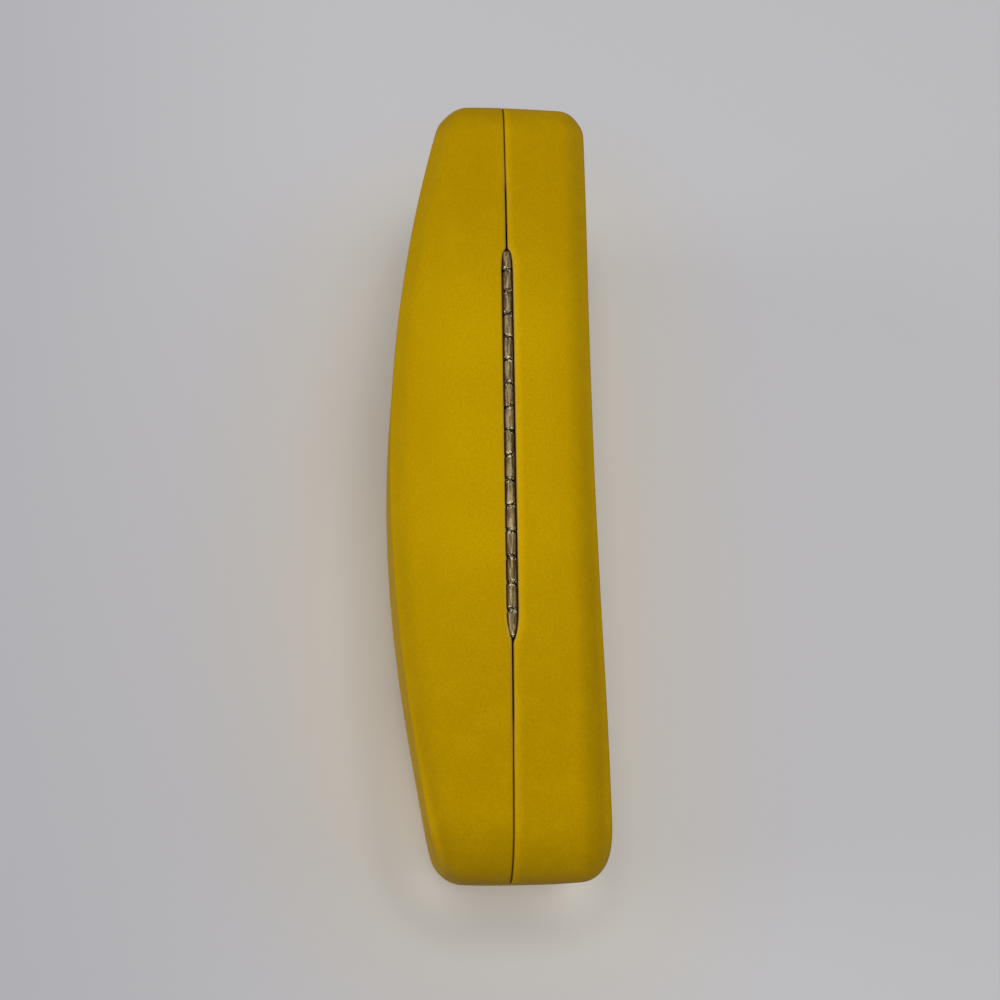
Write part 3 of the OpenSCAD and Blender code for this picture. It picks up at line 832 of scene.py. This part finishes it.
def knuckleStart(i):
    form = hingeForm
    return -form["knuckles"] * form["pitch"] / 2 + i * form["pitch"] + form["gap"] / 2


def notchAt(angle):
    # how far a knuckle's end is cut back on its free side
    form = hingeForm
    return form["notchDepth"] * max(0.0, 1 - abs(angle - form["notchAngle"]) / form["notchReach"])


def bentStrip(path, side, x0, x1, cuts=None):
    # a strip of sheet metal that follows path, a list of (y, z, normal y, normal z), with rounded edges
    half, c = hingeForm["sheet"] / 2, hingeForm["edgeRound"]
    loops = []
    for j, (y, z, ny, nz) in enumerate(path):
        cut = cuts[j] if cuts else 0.0
        loop = []
        for end, inwards in ((x0 + cut, 1), (x1 - cut, -1)):
            for q in (0, 30, 60, 90)[::inwards]:
                a = math.radians(q)
                loop.append((end + inwards * c * (1 - math.cos(a)), half - c * (1 - math.sin(a))))
        loop += [(x1 - cut, -half), (x0 + cut, -half)]
        loops.append([(x, seamY + side * (y + ny * lift), z + nz * lift) for x, lift in loop])
    return closedLoft(loops)


def knucklePath():
    # bend out of the plate, strap, then the curl over the pin; also the cut of the ends along it
    form = hingeForm
    curl = form["boreRadius"] + form["sheet"] / 2
    bend = form["bendRadius"]
    path = [(curl + bend + form["overlap"], form["plateZ"], 0, 1)]
    for q in range(0, 91, 15):
        a = math.radians(q)
        path.append((curl + bend * (1 - math.sin(a)), form["plateZ"] + bend * (1 - math.cos(a)),
                     math.sin(a), math.cos(a)))
    cuts = [0.0] * len(path)
    for q in range(0, form["curlEnd"] + 1, 8):
        a = math.radians(q)
        path.append((curl * math.cos(a), hingeAxis.z + curl * math.sin(a), math.cos(a), math.sin(a)))
        cuts.append(notchAt(q))
    return path, cuts


def closedKnuckle(side, i):
    # the last knuckle at an end: a bullet-shaped barrel that is closed at its tip
    form = hingeForm
    outwardsX = -1 if i == 0 else 1
    tipRadius = form["bluntRadius"] if i == 0 else form["tipRadius"]
    length = form["pitch"] - form["gap"]
    innerX = knuckleStart(i) + (length if i == 0 else 0)
    length -= form["bluntShort"] if i == 0 else 0
    c = form["edgeRound"]
    barrel = form["outerRadius"]
    profile = [(0.0, barrel - c), (c * 0.3, barrel - c * 0.3), (c, barrel)]
    straight = length - form["tipRound"]
    for t in (0.15, 0.3, 0.45, 0.6, 0.72, 0.83, 0.92, 1.0):
        along = lerp(c, straight, t)
        profile.append((along, lerp(barrel, tipRadius, (along / length) ** form["taper"])))
    shoulderRadius = profile[-1][1]
    for q in (25, 50, 70, 84):
        a = math.radians(q)
        profile.append((straight + form["tipRound"] * math.sin(a),
                        shoulderRadius - form["tipRound"] * (1 - math.cos(a))))
    loops = []
    for along, radius in profile:
        loop = []
        for q in range(0, 360, 8):
            a = math.radians(q)
            x = innerX + outwardsX * (along + notchAt(q) * max(0.0, 1 - along / (2 * form["notchDepth"] + c)))
            loop.append((x, seamY + side * radius * math.cos(a), hingeAxis.z + radius * math.sin(a)))
        loops.append(loop)
    bore = [(x, seamY + (y - seamY) * 0.5, hingeAxis.z + (z - hingeAxis.z) * 0.5) for x, y, z in loops[0]]
    return closedLoft([bore] + loops)


def flatPlate(side):
    # the leaf's plate, with its rivet holes and the windows that its hooks were bent out of
    form = hingeForm
    x1 = form["knuckles"] * form["pitch"] / 2
    y0, y1 = form["plateStart"], form["plateEnd"]
    windowY = form["hookY"] + form["sheet"] / 2
    low, high = windowY - form["sheet"], windowY + form["hookWindow"]
    hookHalf = form["hookLength"] / 2
    hole = form["rivetHole"]
    rims = [[(-x1, y0), (x1, y0), (x1, y1), (-x1, y1)]]
    for x in (-form["hookX"], form["hookX"]):
        left, right = x - hookHalf, x + hookHalf
        rims.append([(left, low), (right, low), (right, high), (left, high)])
    for x in (-form["rivetX"], 0, form["rivetX"]):
        turns = [math.radians(q) for q in range(0, 360, 12)]
        rims.append([(x + hole * math.cos(a), form["rivetY"] + hole * math.sin(a)) for a in turns])
    sheet = bpy.data.curves.new("plateOutline", "CURVE")
    sheet.dimensions = "2D"
    sheet.fill_mode = "BOTH"
    edge = form["plateRound"]
    sheet.extrude = (form["sheet"] / 2 - edge) * mm
    sheet.bevel_depth = edge * mm
    sheet.bevel_resolution = 1
    sheet.offset = -edge * mm
    for rim in rims:
        spline = sheet.splines.new("POLY")
        spline.points.add(len(rim) - 1)
        spline.use_cyclic_u = True
        for point, (x, y) in zip(spline.points, rim):
            point.co = (x * mm, y * mm, 0, 1)
    holder = bpy.data.objects.new("plateOutline", sheet)
    mesh = bpy.data.meshes.new_from_object(holder)
    points = [(v.co.x / mm, seamY + side * v.co.y / mm, form["plateZ"] + v.co.z / mm) for v in mesh.vertices]
    faces = [tuple(face.vertices) for face in mesh.polygons]
    bpy.data.objects.remove(holder)
    bpy.data.meshes.remove(mesh)
    return points, faces


def hook(side, x):
    # a tab bent down out of the plate, which the spring's edge catches on
    form = hingeForm
    bend = form["hookBend"]
    path = [(form["hookY"] - bend - form["overlap"], form["plateZ"], 0, 1)]
    for q in range(0, 91, 18):
        a = math.radians(q)
        path.append((form["hookY"] - bend * (1 - math.sin(a)), form["plateZ"] - bend * (1 - math.cos(a)),
                     math.sin(a), math.cos(a)))
    path.append((form["hookY"], form["plateZ"] - form["hookDrop"], 1, 0))
    return bentStrip(path, side, x - form["hookLength"] / 2, x + form["hookLength"] / 2)


def makeLeaf(name, side):
    form = hingeForm
    path, cuts = knucklePath()
    length = form["pitch"] - form["gap"]
    parts = [flatPlate(side)]
    last = form["knuckles"] - 1
    for i in range(0 if side == lidSide else 1, form["knuckles"], 2):
        start = knuckleStart(i)
        if i in (0, last):
            parts.append(closedKnuckle(side, i))
            inner = start + form["strapIn"]
            if i == 0:
                inner = start + length - form["strapLength"] - form["strapIn"]
            foot = path[:9]  # out of the plate and up to the start of the curl
            parts.append(bentStrip(foot, side, inner, inner + form["strapLength"]))
        else:
            parts.append(bentStrip(path, side, start, start + length, cuts))
    parts += [hook(side, x) for x in (-form["hookX"], form["hookX"])]
    return outwards(makePiece(name, *joined(parts)), weld=0.0002, smoothAngle=38.0)


print("hinge leaves")
nickel = satinNickel()
for leafName, leafSide, leafBody in (
        ("leafWithKnucklesBase", baseSide, "base"), ("leafWithKnucklesLid", lidSide, "lid")):
    leaf = makeLeaf(leafName, leafSide)
    dress(leaf, nickel)
    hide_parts("hinge_leaf_" + leafBody)
    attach(leaf, leafBody)


# Snap springs and the gusset over them, which both curve round the hinge

springForm = {
    "radius": 5.55, "thickness": 0.3, "centreZ": 61.25, "width": 23.0, "x": 20.0, "topAngle": 3.0,
    "thinEdge": 0.55, "step": 1.5, "turns": 56,
}


def makeSpring(name, x):
    form = springForm
    mean, half = form["radius"] + form["thickness"] / 2, form["thickness"] / 2
    edge = form["width"] / 2
    columns = spread(-edge, edge, form["step"]) + [edge]
    skin = [(column, half * (form["thinEdge"] if abs(column) == edge else 1)) for column in columns]
    loop = skin + [(column, -lift) for column, lift in skin[::-1]]
    loops = []
    for k in range(form["turns"] + 1):
        q = math.radians(lerp(form["topAngle"], -180 - form["topAngle"], k / form["turns"]))
        ny, nz = math.cos(q), math.sin(q)
        loops.append([(x + column, seamY + (mean + lift) * ny, form["centreZ"] + (mean + lift) * nz)
                      for column, lift in loop])
    return outwards(makePiece(name, *closedLoft(loops)))


gussetForm = {
    "edge": 8.1, "foot": 7.0, "flange": 7.55, "z": 61.75, "sag": 6.7, "lowSag": 0.9, "thickness": 0.6,
    "half": 43.0, "flat": 31.9, "arcSteps": 40, "step": 1.2, "wrinkle": 0.12, "wrinkleSize": 4.0,
}


def gussetLine(x):
    # the strip's upper line across the hinge at x: flange, sagging arc, flange
    form = gussetForm
    fall = eased((abs(x) - form["flat"]) / (form["half"] - form["flat"]))
    sag = lerp(form["sag"], form["lowSag"], fall)
    radius = (form["foot"] ** 2 + sag ** 2) / (2 * sag)
    reach = math.asin(min(1.0, form["foot"] / radius))
    if sag >= form["foot"]:
        reach = math.pi - reach
    line = [(-form["edge"], form["z"], 0, 1), (-form["flange"], form["z"], 0, 1)]
    for k in range(form["arcSteps"] + 1):
        a = reach * (2 * k / form["arcSteps"] - 1)
        line.append((radius * math.sin(a), form["z"] - sag + radius - radius * math.cos(a),
                     -math.sin(a), math.cos(a)))
    return line + [(form["flange"], form["z"], 0, 1), (form["edge"], form["z"], 0, 1)]


def makeGusset(name):
    form = gussetForm
    loops, lengths = [], []
    columns = spread(-form["half"], form["half"], form["step"]) + [form["half"]]
    for x in columns:
        line = gussetLine(x)
        upper, lower = [], []
        for y, z, ny, nz in line:
            settle = 0.5 + 0.5 * noise.noise(Vector((x, y, z)) / form["wrinkleSize"])
            drop = form["wrinkle"] * settle * min(1.0, max(0.0, (form["foot"] - abs(y)) / 2))
            upper.append((x, seamY + y, z))
            deep = form["thickness"] + drop
            lower.append((x, seamY + y - ny * deep, min(z - nz * deep, form["z"] - form["thickness"] * 0.9)))
        loops.append(upper + lower[::-1])
        lengths.append(sum(math.dist(a[:2], b[:2]) for a, b in zip(line, line[1:])))
    # the strip's flat area, from the length of its line at each column
    area = sum((a + b) / 2 * (right - left)
               for a, b, left, right in zip(lengths, lengths[1:], columns, columns[1:]))
    return outwards(makePiece(name, *closedLoft(loops))), max(lengths), area


print("springs and gusset")
steelStrip = sheetSteel("springSteel")
for springName, springX in (("Left", -springForm["x"]), ("Right", springForm["x"])):
    spring = makeSpring("spring" + springName, springX)
    dress(spring, steelStrip)
    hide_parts("snap_spring_" + springName.lower())
    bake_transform(spring)

gusset, gussetWidth, gussetArea = makeGusset("gussetStrip")
dress(gusset, gussetCloth())
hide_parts("hinge_gusset")
gussetWidth * mm
gussetArea * mm * mm
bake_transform(gusset)


# Pieces that stay as the CAD made them

print("shells, pin and rivets")
shellSteel, pinSteel, rivetSteel = [sheetSteel(name) for name in ("shellSteel", "pinSteel", "rivetSteel")]
for nodeName, nodeMaterial in (
        ("base_shell", shellSteel), ("lid_shell", shellSteel), ("hinge_pin", pinSteel),
        ("hinge_rivets_base", rivetSteel), ("hinge_rivets_lid", rivetSteel)):
    dressNode(nodeName, nodeMaterial)


# Floor, light and camera

stageLook = {
    "pale": (0.685, 0.682, 0.710, 1), "shaded": (0.565, 0.565, 0.600, 1), "size": 6000.0,
    "across": (-150, 20), "slant": 0.3, "grain": 0.9, "roughness": 0.75, "grainRough": 0.1, "depth": 0.02,
    # round the case's foot the card carries painted light: warmer with painted bounce light, paler where
    # painted light lifts the shadow at the foot, most so past its +X end, and a painted shadow beside the lid
    "footX": 79.0, "footRight": 19.0, "footLeft": 18.0, "footArch": 10.4,
    "warm": (1.02, 0.975, 0.84, 1), "warmAway": (62, 0), "warmShare": 0.85,
    "paleAway": (13, 0), "paleShade": 0.1, "lowerAlong": (35, 80), "lowerShade": 0.34,
    "darkAway": (32, 4), "darkAlong": (25, -35), "darkSide": (-2, -18), "darkShade": 0.12,
}


def makeFloor():
    look = stageLook
    half = look["size"] / 2
    corners = [(-half, -half, 0), (half, -half, 0), (half, half, 0), (-half, half, 0)]
    floor = makePiece("floor", corners, [(0, 1, 2, 3)])
    card = Finish("paleCard", Specular_IOR_Level=0.2)
    x, y, _ = card.axes()
    grain = card.noise(look["grain"])
    tone = card.mixed(card.within(y - x * look["slant"], look["across"]), look["shaded"], look["pale"])
    # how far a place lies from the case's foot, whose lid side is arched
    overX = (abs(x) - look["footX"] * mm).larger(0)
    overRight = y - look["footRight"] * mm
    overLeft = x * x * (look["footArch"] / look["footX"] ** 2 / mm) - y - look["footLeft"] * mm
    overY = overLeft.larger(overRight).larger(0)
    away = (overX * overX + overY * overY) ** 0.5
    warm = card.within(away, look["warmAway"]) * look["warmShare"]
    tone = card.mixed(warm, tone, look["warm"], "MULTIPLY")
    lower = card.within(x, look["lowerAlong"]) * look["lowerShade"]
    tone = card.scaled(tone, 1 + card.within(away, look["paleAway"]) * (look["paleShade"] + lower))
    dark = (card.within(away, look["darkAway"]) * card.within(x, look["darkAlong"])
            * card.within(y, look["darkSide"]) * look["darkShade"])
    tone = card.scaled(tone, 1 - dark)
    rough = look["roughness"] + (grain - 0.5) * look["grainRough"]
    floor.data.materials.append(card.paint(tone, rough, card.bumped(grain, look["depth"])))


lightLook = {
    "aim": (0.0, 0.0, 40.0),
    # each lamp: place, size, power, colour
    "ceilingLight": ((0.0, 0.0, 1600.0), 800.0, 14.4, (1.0, 0.995, 1.0)),
    "rightLight": ((0.0, 1130.0, 1130.0), 800.0, 1.1, (1.0, 0.995, 1.0)),
    "leftLight": ((0.0, -1500.0, 580.0), 800.0, 4.3, (1.0, 0.995, 1.0)),
    "worldColour": (0.98, 0.985, 1.0, 1), "worldPower": 0.13,
}


def areaLight(name, place, aim, size, power, colour):
    lamp = bpy.data.lights.new(name, "AREA")
    lamp.shape = "DISK"
    lamp.size = size * mm
    lamp.energy = power
    lamp.color = colour
    holder = bpy.data.objects.new(name, lamp)
    bpy.context.scene.collection.objects.link(holder)
    holder.location = Vector(place) * mm
    holder.rotation_euler = (Vector(aim) - Vector(place)).to_track_quat("-Z", "Y").to_euler()


def makeLight():
    look = lightLook
    for name in ("ceilingLight", "rightLight", "leftLight"):
        place, size, power, colour = look[name]
        areaLight(name, place, look["aim"], size, power, colour)
    world = bpy.data.worlds.new("studio")
    bpy.context.scene.world = world
    world.use_nodes = True
    sky = world.node_tree.nodes["Background"]
    sky.inputs["Color"].default_value = look["worldColour"]
    sky.inputs["Strength"].default_value = look["worldPower"]


cameraLook = {
    "place": (83.370, -13.653, 261.203), "ahead": (-0.33096824, 0.07179694, -0.9409066),
    "down": (0.94357859, 0.01363096, -0.330868), "lens": 40.45, "sensor": 36.0, "near": 10.0, "far": 20000.0,
}


def makeCamera():
    look = cameraLook
    ahead, down = Vector(look["ahead"]).normalized(), Vector(look["down"]).normalized()
    across = down.cross(ahead).normalized()
    camera = bpy.data.cameras.new("camera")
    camera.sensor_fit = "HORIZONTAL"
    camera.sensor_width = look["sensor"]
    camera.lens = look["lens"]
    camera.clip_start, camera.clip_end = look["near"] * mm, look["far"] * mm
    holder = bpy.data.objects.new("camera", camera)
    bpy.context.scene.collection.objects.link(holder)
    turn = Matrix((across, ahead.cross(across) * -1, -ahead)).transposed()
    holder.matrix_world = Matrix.Translation(Vector(look["place"]) * mm) @ turn.to_4x4()
    bpy.context.scene.camera = holder
    bpy.context.scene.view_settings.view_transform = "Standard"


print("floor, light and camera")
makeFloor()
makeLight()
makeCamera()

bpy.context.view_layer.update()
